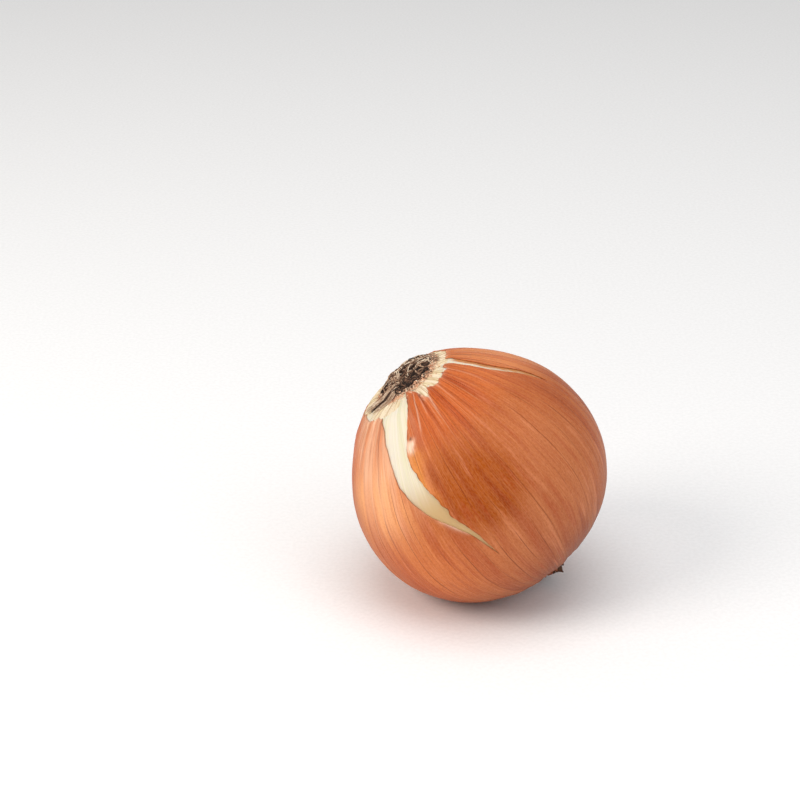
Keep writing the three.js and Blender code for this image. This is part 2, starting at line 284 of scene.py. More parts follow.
def add(tree, kind, inputs=None, output=0, **settings):
    """Adds a node with its settings and its inputs' values or links, and gives an output."""
    made = tree.nodes.new(kind)
    for key, value in settings.items():
        setattr(made, key, value)
    for key, value in (inputs or {}).items():
        if isinstance(value, bpy.types.NodeSocket):
            tree.links.new(value, made.inputs[key])
        elif isinstance(value, str) and value.startswith("#"):
            made.inputs[key].default_value = linear(value)
        else:
            made.inputs[key].default_value = value
    return made.outputs[output] if len(made.outputs) else made


MATH, VECTOR, RANGE = "ShaderNodeMath", "ShaderNodeVectorMath", "ShaderNodeMapRange"
NOISE, CELLS, MIX = "ShaderNodeTexNoise", "ShaderNodeTexVoronoi", "ShaderNodeMix"
BUMP, GLOSS = "ShaderNodeBump", "ShaderNodeBsdfPrincipled"
ATTRIBUTE, PLACE = "ShaderNodeAttribute", "ShaderNodeTexCoord"


def finish(name, build):
    """A material whose shader a function builds."""
    made = bpy.data.materials.new(name)
    made.use_nodes = True
    made.node_tree.nodes.clear()
    add(made.node_tree, "ShaderNodeOutputMaterial", {"Surface": build(made.node_tree)})
    return made


def fibre_patterns(tree, grain, patterns):
    """Patterns stretched along the fibres. Each is given as how many times it repeats in one
    radian round the bulb and along it, its offset and its detail."""
    out = []
    for around, along, offset, detail in patterns:
        place = {0: grain, 1: (around, around, along), 2: (offset,) * 3}
        place = add(tree, VECTOR, place, operation="MULTIPLY_ADD")
        noise = {"Vector": place, "Scale": 1.0, "Detail": detail, "Roughness": 0.6}
        out.append(add(tree, NOISE, noise))
    return out


def layered(tree, colour, coats):
    """Coats of colour laid over each other. Each has a mask, the values between which the mask
    goes from nothing to its strength, the strength, a colour, and how it blends if not mixed."""
    for mask, low, high, strength, coat, *blend in coats:
        share = {0: mask, 1: low, 2: high, 3: 0.0, 4: strength}
        share = add(tree, RANGE, share, interpolation_type="SMOOTHSTEP")
        colour = {0: share, 6: colour, 7: coat}
        blend_type = blend[0] if blend else "MIX"
        colour = add(tree, MIX, colour, 2, data_type="RGBA", blend_type=blend_type)
    return colour


def shader(tree, colour, mottle, roughness, relief, strength, height, others=None):
    """The shader of a surface whose roughness goes from one value to another with a mottle. Its
    relief has a strength and a height in mm."""
    least, most = roughness
    relief = {"Height": relief, "Strength": strength, "Distance": height * MM}
    return add(tree, GLOSS, {
        "Base Color": colour,
        "Roughness": add(tree, RANGE, {0: mottle, 1: 0.3, 2: 0.7, 3: least, 4: most}),
        "Normal": add(tree, BUMP, relief),
        "IOR": 1.45,
        **(others or {}),
    })


def papery_onion_skin(tree):
    """Dry outer scale of a yellow onion: a satin, slightly waxy sheet. The light catches its
    lengthwise fibres, 0.7 mm apart and finer, and thin red-brown veins run from the roots to the
    neck, 1.6 mm apart with stronger ones every 4.6 mm. It goes from copper near the roots to
    amber, salmon and brown, with redder and paler smears, and it is paler where it stands off the
    flesh. Light and shade are painted into its colour as well: a highlight in the salmon on the
    right, the lighter left side in part, a sheen in pale streaks on the left, highlights on the
    ridges and on the crests of the folds near the roots, shade in their creases, shade low on the
    bulb and shadow lines along the edges of the wide split. Its cells and its grain are 0.1 mm or
    finer, too fine to show, so the cells are drawn 0.4 mm wide and 1 mm long, and the grain 0.5 mm."""
    flat = add(tree, ATTRIBUTE, {}, "Vector", attribute_name="grain")
    sway = add(tree, NOISE, {"Vector": flat, "Scale": 2.2, "Detail": 1.0}, 1)
    grain = add(tree, VECTOR, {0: sway, 1: (0.03, 0.03, 0.0), 2: flat}, operation="MULTIPLY_ADD")
    fibres, fine, bands, blotch, breaks, strong, drift, spread, slack, smears = fibre_patterns(
        tree, grain, [
            (48, 0.8, 0, 2.5),  # 0.7 mm apart
            (130, 2.4, 7, 2),  # 0.26 mm
            (7, 0.5, 3, 1.5),  # bands 5 mm wide
            (3.2, 2.2, 11, 3),  # blotches of 10 to 15 mm
            (26, 2.4, 21, 2),  # 1.3 mm wide, and the thin veins break off every 14 mm
            (10, 2.0, 25, 1),  # 3.4 mm wide, and the strong veins fade every 17 mm
            (9, 0.4, 31, 1),  # the thin veins drift over 4 mm
            (4, 0.3, 35, 1),  # the strong ones over 8 mm
            (24, 0.6, 41, 2.5),  # creases of slack skin, 1.4 mm apart
            (15, 1.7, 51, 2),  # smears 2.3 mm wide and 20 mm long
        ],
    )
    split = add(tree, "ShaderNodeSeparateXYZ", {0: grain}).node.outputs
    turn = add(tree, MATH, {0: split[1], 1: split[0]}, operation="ARCTAN2")
    lines = []
    for count, jitter, wander_of, width in ((46, 0.9, spread, 0.03), (131, 1.1, drift, 0.07)):
        at = add(tree, MATH, {0: turn, 1: count / (2 * math.pi)}, operation="MULTIPLY")
        at = add(tree, MATH, {0: wander_of, 1: jitter, 2: at}, operation="MULTIPLY_ADD")
        off = add(tree, MATH, {0: at, 1: 0.5}, operation="PINGPONG")
        line = {0: off, 1: 0.0, 2: width, 3: 1.0, 4: 0.0}
        lines.append(add(tree, RANGE, line, interpolation_type="SMOOTHSTEP"))
    fades = [
        add(tree, RANGE, {0: noise, 1: low, 2: high})
        for noise, low, high in ((strong, 0.36, 0.6), (breaks, 0.44, 0.66))
    ]
    vein, hair = (
        add(tree, MATH, {0: line, 1: fade}, operation="MULTIPLY")
        for line, fade in zip(lines, fades)
    )
    # the skin's cells show as short bright dashes along the fibres, 0.4 mm wide and 1 mm long
    place = add(tree, VECTOR, {0: grain, 1: (90, 90, 34), 2: (2,) * 3}, operation="MULTIPLY_ADD")
    cells = add(tree, CELLS, {"Vector": place, "Scale": 1.0}, 0, feature="F1")
    amber, root, rosy_and_highlight, left, low, top, brown, gold, pale, dark, painted_sheen = (
        add(tree, ATTRIBUTE, {}, "Fac", attribute_name=name)
        for name in (
            "amber", "near_root", "rosy_and_highlight", "left_side_lit", "low_left", "top_side", "brown", "gold",
            "pale", "dark", "painted_sheen",
        )
    )
    # painted sheen on the left side, laid in streaks along the fibres and ridges
    streaks = bands
    for pattern in (slack, fibres):
        streaks = add(tree, MATH, {0: streaks, 1: pattern}, operation="ADD")
    streaks = {0: streaks, 1: 1.3, 2: 1.8, 3: 0.4, 4: 1.0}
    streaks = add(tree, RANGE, streaks, interpolation_type="SMOOTHSTEP")
    streaks = add(tree, MATH, {0: streaks, 1: painted_sheen}, operation="MULTIPLY")
    # painted light on the slack folds near the roots: shade in their creases, highlight on their
    # crests
    folds = [add(tree, RANGE, {0: slack, 1: a, 2: b}) for a, b in ((0.52, 0.68), (0.46, 0.32))]
    crease, crest = (add(tree, MATH, {0: fold, 1: root}, operation="MULTIPLY") for fold in folds)
    spot = add(tree, PLACE, {}, "Object")
    pores = add(tree, NOISE, {"Vector": spot, "Scale": 2100.0, "Detail": 2.0, "Roughness": 0.7})
    colour = layered(
        tree,
        add(tree, MIX, {0: bands, 6: "#B25A22", 7: "#C87036"}, 2, data_type="RGBA"),
        [
            (blotch, 0.4, 0.7, 0.5, "#AE541E"),
            # salmon tone, which on the right is also a painted highlight
            (rosy_and_highlight, 0, 1, 0.85, "#C77648"),
            # lighter left side: partly painted light, partly thin skin over the pale flesh
            (left, 0, 1, 0.9, "#FCB274"),
            # brown towards the neck, and painted shade low on the bulb
            (brown, 0, 1, 0.9, "#8E5030"),
            (low, 0, 1, 0.7, "#DA783C"),
            (root, 0, 1, 0.8, "#D4641F"),
            (amber, 0, 1, 1.0, "#A84E00"),
            (gold, 0, 1, 0.8, "#E08C3A"),
            (top, 0, 1, 0.85, "#F29C60"),
            (bands, 0.46, 0.6, 0.36, "#C5642F", "MULTIPLY"),
            (fibres, 0.42, 0.72, 0.2, "#CF8460", "MULTIPLY"),
            (breaks, 0.56, 0.72, 0.34, "#B04A22"),
            (smears, 0.56, 0.68, 0.42, "#AE4A24"),
            (smears, 0.42, 0.3, 0.3, "#E8956A"),
            (fine, 0.48, 0.7, 0.19, "#EC9F6C"),
            (pores, 0.42, 0.68, 0.24, "#C8866A", "MULTIPLY"),
            # painted shade in the creases, painted highlight on the crests
            (crease, 0, 1, 0.5, "#A5441C"),
            (crest, 0, 1, 0.4, "#F2A67A"),
            (cells, 0.3, 0.62, 0.06, "#F7B48A"),
            # painted sheen, in pale streaks on the left side
            (streaks, 0, 1, 0.72, "#FFC8A0"),
            (hair, 0, 1, 0.42, "#A34A28"),
            (vein, 0, 1, 0.72, "#86351A"),
            # the skin's own paler places, and a painted highlight along the ridges
            (pale, 0, 1, 0.92, "#FFDEC2"),
            # painted shadow lines along the wide split, and the dark notch
            (dark, 0, 1, 0.85, "#6A2E12"),
        ],
    )
    relief = fibres
    for share, part in ((0.6, fine), (-0.8, vein), (0.4, cells), (-2.0, crease), (2.0, crest)):
        relief = add(tree, MATH, {0: part, 1: share, 2: relief}, operation="MULTIPLY_ADD")
    others = {"Specular IOR Level": 0.18}
    return shader(tree, colour, fibres, (0.38, 0.52), relief, 0.7, 0.19, others)


def fresh_onion_flesh(tree):
    """Moist outer fleshy scale: creamy, with faint green lengthwise veins 1.3 mm apart, wider bands
    of 3.4 mm, fine fibres of 0.5 mm and a soft gloss. It dries to straw towards the end of a split.
    Its amber there and at the far edge of the narrow split is painted shade under the skin's edge,
    warmed by light that comes through the skin."""
    grain = add(tree, ATTRIBUTE, {}, "Vector", attribute_name="grain")
    patterns = [(26, 0.8, 0, 2), (10, 1.0, 4, 2), (70, 1.6, 9, 2)]
    veins, wide, fine = fibre_patterns(tree, grain, patterns)
    straw = add(tree, ATTRIBUTE, {}, "Fac", attribute_name="straw")
    amber = add(tree, ATTRIBUTE, {}, "Fac", attribute_name="amber")
    colour = layered(tree, "#E4DAC8", [
        (wide, 0.35, 0.65, 0.7, "#E6DABC"),
        (veins, 0.46, 0.64, 0.6, "#D4D0A4"),
        (fine, 0.5, 0.7, 0.3, "#FFF6E2"),
        (straw, 0, 1, 1.0, "#C8A572"),
        # painted shade under the skin's edge, warmed by light through the skin
        (amber, 0, 1, 0.95, "#C27C42"),
    ])
    return shader(tree, colour, veins, (0.32, 0.44), veins, 0.5, 0.15, {
        "IOR": 1.38,
        "Subsurface Weight": 0.2,
        "Subsurface Radius": (1.0, 0.7, 0.3),
        "Subsurface Scale": 1.5 * MM,
    })


def dried_root_fibre(tree):
    """Wiry dried roots, brown-black with faded tan ones among them, matt and finely wrinkled. Those
    that lie deep in the mat or on its near side are darker still, as painted shade.
    The wrinkles are under 0.1 mm, too fine to show, so they are drawn 0.4 mm apart."""
    place = add(tree, PLACE, {}, "Object")
    grain = add(tree, NOISE, {"Vector": place, "Scale": 2600.0, "Detail": 3.0, "Roughness": 0.6})
    tone = add(tree, ATTRIBUTE, {}, "Fac", attribute_name="tone")
    colour = layered(tree, "#2A1A10", [
        (tone, 0.08, 0.35, 1.0, "#7C5843"),
        (tone, 0.35, 0.6, 1.0, "#BA977B"),
        (tone, 0.6, 0.95, 1.0, "#F2E0C6"),
        (grain, 0.4, 0.7, 0.4, "#8A6B55", "MULTIPLY"),
    ])
    return shader(tree, colour, grain, (0.7, 0.95), grain, 0.5, 0.1)


def dead_leaf_base(tree):
    """Dead leaf bases: brittle brown paper with lengthwise ribs 0.2 mm apart, streaks of 0.5 mm and
    pale scuffs of 1 mm. Here a radian is only 2 mm, because the leaves stand in the neck."""
    grain = add(tree, ATTRIBUTE, {}, "Vector", attribute_name="grain")
    ribs, streaks = fibre_patterns(tree, grain, [(9, 0.6, 0, 3), (4, 1.5, 3, 2)])
    place = add(tree, PLACE, {}, "Object")
    scuffs = add(tree, NOISE, {"Vector": place, "Scale": 900.0, "Detail": 3.0, "Roughness": 0.6})
    colour = layered(tree, "#6A4226", [
        (ribs, 0.4, 0.6, 0.8, "#361F11"),
        (streaks, 0.45, 0.65, 0.6, "#4C2E1C"),
        (scuffs, 0.58, 0.78, 0.5, "#A88258"),
    ])
    return shader(tree, colour, scuffs, (0.6, 0.85), ribs, 0.6, 0.2)


def torn_inner_scale(tree):
    """Papery ends of the inner scales round the roots: cream, with fibres 0.3 mm apart in bundles
    of 1 mm, because a radian is 12 mm here, and stained pinkish brown towards the roots in patches
    of 2 mm."""
    grain = add(tree, ATTRIBUTE, {}, "Vector", attribute_name="grain")
    fibres, bundles = fibre_patterns(tree, grain, [(36, 3.0, 0, 3), (12, 1.6, 5, 2)])
    place = add(tree, PLACE, {}, "Object")
    stain = add(tree, NOISE, {"Vector": place, "Scale": 520.0, "Detail": 3.0, "Roughness": 0.6})
    rootward = add(tree, ATTRIBUTE, {}, "Fac", attribute_name="rootward")
    patchy = add(tree, MATH, {0: rootward, 1: 0.45, 2: stain}, operation="MULTIPLY_ADD")
    colour = layered(tree, "#F0DFC3", [
        (bundles, 0.4, 0.62, 0.7, "#E2CC9C"),
        (fibres, 0.48, 0.62, 0.8, "#B08A5A"),
        (patchy, 0.62, 0.85, 0.9, "#D39A73"),
        (patchy, 0.85, 1.0, 0.8, "#8A5940"),
    ])
    return shader(tree, colour, fibres, (0.55, 0.75), fibres, 0.8, 0.2)


def crumbled_skin(tree):
    """Crumbs of dry skin caught between the roots and the flesh: matt, pinkish brown to cream. The
    colour changes every 0.9 mm, so that most crumbs have one of their own."""
    place = add(tree, PLACE, {}, "Object")
    speck = add(tree, NOISE, {"Vector": place, "Scale": 1100.0, "Detail": 2.0})
    colour = layered(tree, "#F8C8A4", [
        (speck, 0.5, 0.6, 0.8, "#FBE8CC"),
        (speck, 0.46, 0.34, 0.8, "#B87450"),
    ])
    return shader(tree, colour, speck, (0.6, 0.85), speck, 0.5, 0.2)


def matt_white_board(tree):
    """Matt white laminate under the bulb. Its grain is under 0.1 mm, so it is drawn at 1.1 mm, and
    so faint that it doesn't show as a pattern."""
    place = add(tree, PLACE, {}, "Object")
    grain = add(tree, NOISE, {"Vector": place, "Scale": 900.0, "Detail": 2.0})
    colour = layered(tree, "#FDFDFD", [(grain, 0.3, 0.7, 1.0, "#F8F8F8")])
    return add(tree, GLOSS, {"Base Color": colour, "Roughness": 0.85})


SKIN = finish("papery_onion_skin", papery_onion_skin)
FLESH = finish("fresh_onion_flesh", fresh_onion_flesh)
ROOTS = finish("dried_root_fibre", dried_root_fibre)
LEAF = finish("dead_leaf_base", dead_leaf_base)
SCALE_ENDS = finish("torn_inner_scale", torn_inner_scale)
CRUMBS = finish("crumbled_skin", crumbled_skin)


# Meshes


def new_piece(name, points, faces, material=None, attributes=None, edges=()):
    """A smooth-shaded mesh object. Its attributes are one value or vector a point."""
    mesh = bpy.data.meshes.new(name)
    mesh.from_pydata(np.asarray(points).tolist(), list(edges), faces)
    for key, values in (attributes or {}).items():
        values = np.asarray(values, np.float32)
        kind, field = ("FLOAT_VECTOR", "vector") if values.ndim == 2 else ("FLOAT", "value")
        mesh.attributes.new(key, kind, "POINT").data.foreach_set(field, values.ravel())
    if material:
        mesh.materials.append(material)
    mesh.shade_smooth()
    piece = bpy.data.objects.new(name, mesh)
    bpy.context.scene.collection.objects.link(piece)
    return piece


def grid_faces(rows, columns, closed=False):
    """The faces of a grid of points, which may go once round."""
    last = columns if closed else columns - 1
    i, j = np.meshgrid(np.arange(rows - 1), np.arange(last), indexing="ij")
    k = (j + 1) % columns
    cells = [i * columns + j, (i + 1) * columns + j, (i + 1) * columns + k, i * columns + k]
    return np.stack(cells, -1).reshape(-1, 4)


def round_grid(rows, columns, start=0.0):
    """A grid that goes once round: each place's share of the way out, and its turn."""
    turn = np.linspace(start, start + 2 * math.pi, columns, endpoint=False)
    return np.meshgrid(np.linspace(0, 1, rows), turn, indexing="ij")


def applied(piece):
    """The piece as a plain mesh with its modifiers worked in."""
    depsgraph = bpy.context.evaluated_depsgraph_get()
    worked = piece.evaluated_get(depsgraph)
    mesh = bpy.data.meshes.new_from_object(
        worked, preserve_all_data_layers=True, depsgraph=depsgraph
    )
    piece.modifiers.clear()
    old = piece.data
    piece.data = mesh
    bpy.data.meshes.remove(old)
    mesh.name = piece.name
    mesh.shade_smooth()
    return piece


def new_tree(name, inputs):
    """A tree of nodes that works on a mesh, with named inputs and a material, and its inputs."""
    tree = bpy.data.node_groups.new(name, "GeometryNodeTree")
    tree.interface.new_socket("Geometry", in_out="OUTPUT", socket_type="NodeSocketGeometry")
    for label, kind in {"Geometry": "Geometry", **inputs, "Material": "Material"}.items():
        tree.interface.new_socket(label, in_out="INPUT", socket_type="NodeSocket" + kind)
    return tree, add(tree, "NodeGroupInput").node.outputs


def end_tree(tree, given, shape):
    """Ends a tree: its instances are made real and get the material."""
    real = add(tree, "GeometryNodeRealizeInstances", {"Geometry": shape})
    dressed = {"Geometry": real, "Material": given["Material"]}
    dressed = add(tree, "GeometryNodeSetMaterial", dressed)
    add(tree, "NodeGroupOutput", {0: dressed})
    return tree


def run_tree(piece, tree, values):
    """Works a tree of nodes into a piece with the given sizes."""
    modifier = piece.modifiers.new(tree.name, "NODES")
    modifier.node_group = tree
    for item in tree.interface.items_tree:
        if item.in_out == "INPUT" and item.name in values:
            modifier[item.identifier] = values[item.name]
    return applied(piece)


def mended(piece, apart, middle=None):
    """Merges points that are no further apart and turns the faces the same way, which is away from
    the middle if one is given."""
    bm = bmesh.new()
    bm.from_mesh(piece.data)
    bmesh.ops.remove_doubles(bm, verts=bm.verts, dist=apart)
    bmesh.ops.recalc_face_normals(bm, faces=bm.faces)
    if middle and sum((f.calc_center_median() - middle).dot(f.normal) for f in bm.faces) < 0:
        bmesh.ops.reverse_faces(bm, faces=bm.faces)
    bm.to_mesh(piece.data)
    bm.free()
    return piece


def thickened(piece, thickness, offset):
    """Gives a sheet its thickness, after its doubles are merged and its faces turned outwards."""
    mended(piece, 0.02 * MM, Vector((0, 0, CENTRE_HEIGHT * MM)))
    sheet = piece.modifiers.new("sheet", "SOLIDIFY")
    sheet.thickness = thickness * MM
    sheet.offset = offset
    return applied(piece)


# The skin


def eased(count, density):
    """Steps from 0 to 1, closer together at both ends."""
    t = np.linspace(0, 1, count)
    return t - density * np.sin(2 * math.pi * t) / (2 * math.pi)


def wide_edges(angle):
    return split_edges(WIDE_SPLIT, angle, seed=13, rough=0.38)


def narrow_edges(angle):
    return split_edges(NARROW_SPLIT, angle, seed=33, rough=0.25)


SKIN_ROWS = 150
SKIN_PATCHES = [
    # which side of the wide split it borders on, how many columns, and its two edges' turns
    (1, 132, lambda angle: (wide_edges(angle)[1], narrow_edges(angle)[0])),
    (0, 160, lambda angle: (narrow_edges(angle)[1], wide_edges(angle)[0] + 2 * math.pi)),
]


def skin_patch(columns, edges):
    """Angles and turns of a grid that fills the skin between two edges, from collar to neck. Its
    rows lie closer together near the roots."""
    share = np.linspace(0, 1, SKIN_ROWS)[:, None]
    share = share - 0.33 * share * (1 - share) ** 2
    step = eased(columns, 0.6)[None, :]
    start = math.radians(COLLAR_DEG)
    plain = start + (LIP_ANGLE - start) * share
    angle = np.repeat(plain, columns, 1)
    # the edges' turns depend on the angle, and the collar's angle on the turn, so both settle
    rounds = 5
    for _ in range(rounds):
        low, high = edges(angle)
        turn = low + (high - low) * step
        teeth = torn(turn, 11, 120, 0.9) + torn(turn, 12, 300, 0.7)
        shift = collar(turn) - COLLAR_DEG + teeth * np.exp(-share / 0.02)
        angle = plain + np.radians(shift) * np.exp(-share / 0.14) * (1 - share)
    return angle, turn, low, high


def drawn_ridges(angle, turn):
    """Height of the ridges that run up to the roots."""
    deg = np.degrees(angle)
    height = 0
    for places, rise in RIDGES:
        at = np.interp(deg, *zip(*places))
        first, last = places[0][0], places[-1][0]
        ends = smooth(deg, first - 3, first + 2) * (1 - smooth(deg, last - 7, last + 2))
        height = height + rise * ends * np.exp(-((turn_off(turn, at) / 0.95) ** 2))
    return height


def slack_folds(angle, turn):
    """Fine folds of slack skin that die away from the roots, spaced unevenly round them."""
    rng = np.random.default_rng(17)
    count = 84
    down = np.degrees(angle) - COLLAR_DEG
    height = 0
    for at in rng.uniform(-180, 180, count):
        width, rise, length = rng.uniform(1.1, 2.8), rng.uniform(-0.12, 0.14), rng.uniform(6, 22)
        fold = rise * np.exp(-((turn_off(turn, at - 0.35 * down) / width) ** 2))
        height = height + fold * np.exp(-((down / length) ** 2))
    return height


def neck_creases(angle, turn):
    """Fine creases that gather at the neck, one every 4 degrees and finer ones every 2."""
    deg, round_neck = np.degrees(angle), np.degrees(turn)
    creases = 0.1 * wander(round_neck / 4, 20, 90) + 0.07 * wander(round_neck / 2, 21, 180)
    return creases * smooth(deg, 118, 150) * (1 - smooth(deg, 168, 173))


def flute_tree():
    """Shallow lengthwise flutes. A noise that is stretched along the grain pushes the surface in
    and out, and dies away where the give attribute does."""
    inputs = {"Closeness": "Float", "Height": "Float", "Seed": "Float"}
    tree, given = new_tree("lengthwise_flutes", inputs)
    named = "GeometryNodeInputNamedAttribute"
    grain = add(tree, named, {"Name": "grain"}, data_type="FLOAT_VECTOR")
    give = add(tree, named, {"Name": "give"}, data_type="FLOAT")
    along = 0.6  # repeats in a radian, so a flute swells about every 57 mm
    repeats = {0: given["Closeness"], 1: given["Closeness"], 2: along}
    repeats = add(tree, "ShaderNodeCombineXYZ", repeats)
    place = add(tree, VECTOR, {0: grain, 1: repeats, 2: given["Seed"]}, operation="MULTIPLY_ADD")
    noise = add(tree, NOISE, {"Vector": place, "Scale": 1.0, "Detail": 1.5})
    height = add(tree, MATH, {0: noise, 1: 0.5}, operation="SUBTRACT")
    for factor in (given["Height"], give):
        height = add(tree, MATH, {0: height, 1: factor}, operation="MULTIPLY")
    outwards = add(tree, "GeometryNodeInputNormal")
    push = add(tree, VECTOR, {0: outwards, "Scale": height}, operation="SCALE")
    pushed = add(tree, "GeometryNodeSetPosition", {"Geometry": given["Geometry"], "Offset": push})
    return end_tree(tree, given, pushed)


def skin_sheet():
    """The papery skin, as two patches that meet past the tips of the splits. Distances from the
    splits and heights are in mm."""
    points, faces, marks = [], [], []
    start = 0
    for side, columns, edges in SKIN_PATCHES:
        angle, turn, low, high = skin_patch(columns, edges)
        faces.append(grid_faces(SKIN_ROWS, columns) + start)
        start += angle.size
        deg = np.degrees(angle)
        across = BULB_RADIUS * np.sin(angle)
        from_wide, from_narrow = (turn - low, high - turn) if side else (high - turn, turn - low)
        from_wide, from_narrow = across * from_wide, across * from_narrow
        (wide_low, wide_high), (narrow_low, narrow_high) = wide_edges(angle), narrow_edges(angle)
        wide_open = smooth(across * (wide_high - wide_low), 0.1, 1.2)
        narrow_open = smooth(across * (narrow_high - narrow_low), 0.1, 0.8)
        # the torn edges stand a little off the flesh, unevenly
        uneven = 0.55 + 0.45 * wander(deg * 0.4, 31) + 0.25 * wander(deg * 1.3, 32)
        lift = 0.2 if side else 0.12 - 0.1 * smooth(deg, 52, 72)
        lift = lift * uneven * wide_open * np.exp(-from_wide / 0.8)
        lift = lift + 0.06 * narrow_open * np.exp(-from_narrow / 0.6)
        rim = np.exp(-BULB_RADIUS * (angle - angle[:1]) / 0.9)
        lift = lift + 0.1 * rim * (0.4 + wander(np.degrees(turn) * 0.3, 33, 108))
        ridges = drawn_ridges(angle, turn)
        surface = reach(angle, turn) + lift + ridges
        surface = surface + slack_folds(angle, turn) + neck_creases(angle, turn)
        points.append((surface[..., None] * direction(angle, turn)).reshape(-1, 3))
        right = np.full(angle.shape, side)
        values = (angle, turn, from_wide, wide_open, rim, ridges, right)
        marks.append([v.ravel() for v in values])
    angle, turn, from_wide, wide_open, rim, ridges, right = (np.concatenate(v) for v in zip(*marks))
    deg = np.degrees(angle)
    left = 1 - right
    at_edge = np.exp(-((from_wide / 0.28) ** 2))
    golden = wide_open * right * np.exp(-((from_wide / 2.2) ** 2))
    golden = golden * smooth(deg, 41, 46) * (1 - smooth(deg, 56, 80))
    fringe = 0.3 * wide_open * left * np.exp(-from_wide / 0.9)
    fringe = fringe * (1 + wander(deg * 0.25, 36)) * smooth(deg, 50, 70)
    # painted shadow lines along both edges of the wide split, where the torn skin stands off the
    # flesh
    shaded = 0.5 * wide_open * left * at_edge * (1 - smooth(deg, 60, 75))
    right_edge_shadow = wide_open * right * at_edge * (0.45 + 0.45 * wander(deg * 0.5, 35))
    mottled = 0.8 + 0.4 * wander(deg * 2.2, 37) * wander(np.degrees(turn) * 1.6 + 400, 38)
    tints = {name: spots(angle, turn, table) for name, table in TINTS.items()}
    tints["near_root"] = 1 - smooth(deg, 30, 62)
    # more painted sheen on the left, near the collar
    tints["painted_sheen"] += 0.7 * rim**0.3 * spots(angle, turn, [(1, (21, -145), 22)])
    tints["brown"] += 0.9 * smooth(deg, 96, 150)
    tints["gold"] += golden
    # pale: the thin torn fringe, the scuffs and the rim are the skin's own colour; the ridges get a
    # painted highlight along their crests
    tints["pale"] = fringe + mottled * spots(angle, turn, SCUFFED) + 2.0 * ridges + 0.3 * rim
    # dark: the painted shadow lines along the wide split, and a dark spot at the notch
    tints["dark"] = right_edge_shadow + shaded + spots(angle, turn, NOTCH)
    place = to_part(np.concatenate(points), 0.02)
    attributes = {name: np.clip(tint, 0, 1) for name, tint in tints.items()}
    attributes["grain"] = with_the_grain(angle, turn)
    attributes["give"] = np.sin(angle) ** 2 * smooth(place[:, 2], 0.2 * MM, 1.5 * MM)
    piece = new_piece("onion_skin", place, np.concatenate(faces).tolist(), None, attributes)
    flutes = {"Closeness": 9.0, "Height": 0.34 * MM, "Seed": 18.0, "Material": SKIN}
    run_tree(piece, flute_tree(), flutes)
    return thickened(piece, SKIN_SHEET, -1)


def flesh_body():
    """The bulb's flesh right under the skin, from the roots to where the neck begins."""
    rows, columns = 130, 220
    share, turn = round_grid(rows, columns)
    angle = math.radians(0.6) + math.radians(157.4) * share**0.92
    inset = FLESH_INSET + 0.7 * smooth(np.degrees(angle), 112, 134)
    surface = reach(angle, turn, False) - inset
    points = (surface[..., None] * direction(angle, turn)).reshape(-1, 3)
    poles = [[0, 0, ROOT_FACE_HEIGHT - FLESH_INSET], [0, 0, points[-1][2]]]
    faces = grid_faces(rows, columns, closed=True)[:, ::-1].tolist()
    last = (rows - 1) * columns
    for j in range(columns):
        k = (j + 1) % columns
        faces += [[len(points), j, k], [len(points) + 1, last + k, last + j]]
    angle, turn = np.append(angle.ravel(), [0, math.pi]), np.append(turn.ravel(), [0, 0])
    deg = np.degrees(angle)
    along, middle, _ = zip(*NARROW_SPLIT)
    off = turn_off(turn, np.interp(deg, along, middle))
    in_narrow = np.abs(off) < 20
    # painted shade: the far edge of the narrow split and the narrowing ends of the splits lie under
    # the skin's edge, so the flesh there is amber
    far_edge = smooth(off, -0.8, 1.0) * smooth(deg, 22, 27)
    amber = np.maximum(far_edge, 0.5 * smooth(deg, 36, 58))
    place = to_part(np.vstack([points, poles]), 0.3)
    attributes = {
        "grain": with_the_grain(angle, turn),
        "give": np.sin(angle) ** 2 * smooth(place[:, 2], 0.3 * MM, 1.5 * MM),
        "straw": np.where(in_narrow, 0.15 + 0.35 * smooth(deg, 26, 50), smooth(deg, 44, 78)),
        # amber: painted shade under the skin's edge
        "amber": np.where(in_narrow, amber, 0.45 * smooth(deg, 84, 102)),
    }
    piece = new_piece("onion_flesh", place, faces, None, attributes)
    flutes = {"Closeness": 22.0, "Height": 0.15 * MM, "Seed": 41.0, "Material": FLESH}
    return run_tree(piece, flute_tree(), flutes)


# Fibres: each is a path of points, and a tree of nodes sweeps a few-sided section along it


def sweep_tree():
    """Turns the edges of a mesh into tubes. The girth attribute of a point is the tube's radius."""
    tree, given = new_tree("swept_fibres", {"Sides": "Int", "Stoutness": "Float"})
    curve = add(tree, "GeometryNodeMeshToCurve", {"Mesh": given["Geometry"]})
    girth = add(tree, "GeometryNodeInputNamedAttribute", {"Name": "girth"}, data_type="FLOAT")
    scale = add(tree, MATH, {0: girth, 1: given["Stoutness"]}, operation="MULTIPLY")
    section = {"Resolution": given["Sides"], "Radius": 1.0}
    section = add(tree, "GeometryNodeCurvePrimitiveCircle", section)
    tube = add(tree, "GeometryNodeCurveToMesh", {
        "Curve": curve, "Profile Curve": section, "Scale": scale, "Fill Caps": True,
    })
    return end_tree(tree, given, tube)


def swept(name, paths, girths, tones, material, sides):
    """Tubes along paths. Every path has the same count of points."""
    count, steps = paths.shape[:2]
    index = np.arange(count * steps).reshape(count, steps)
    edges = np.stack([index[:, :-1], index[:, 1:]], -1).reshape(-1, 2).tolist()
    attributes = {"girth": girths.ravel(), "tone": np.repeat(tones, steps)}
    piece = new_piece(name, paths.reshape(-1, 3), [], None, attributes, edges)
    return run_tree(piece, sweep_tree(), {"Sides": sides, "Stoutness": 1.0, "Material": material})


def round_mat(radius, turn):
    """A place at a distance and a turn from the middle of the mat."""
    return MAT_SHIFT[0] + radius * np.cos(turn), MAT_SHIFT[1] + radius * np.sin(turn)


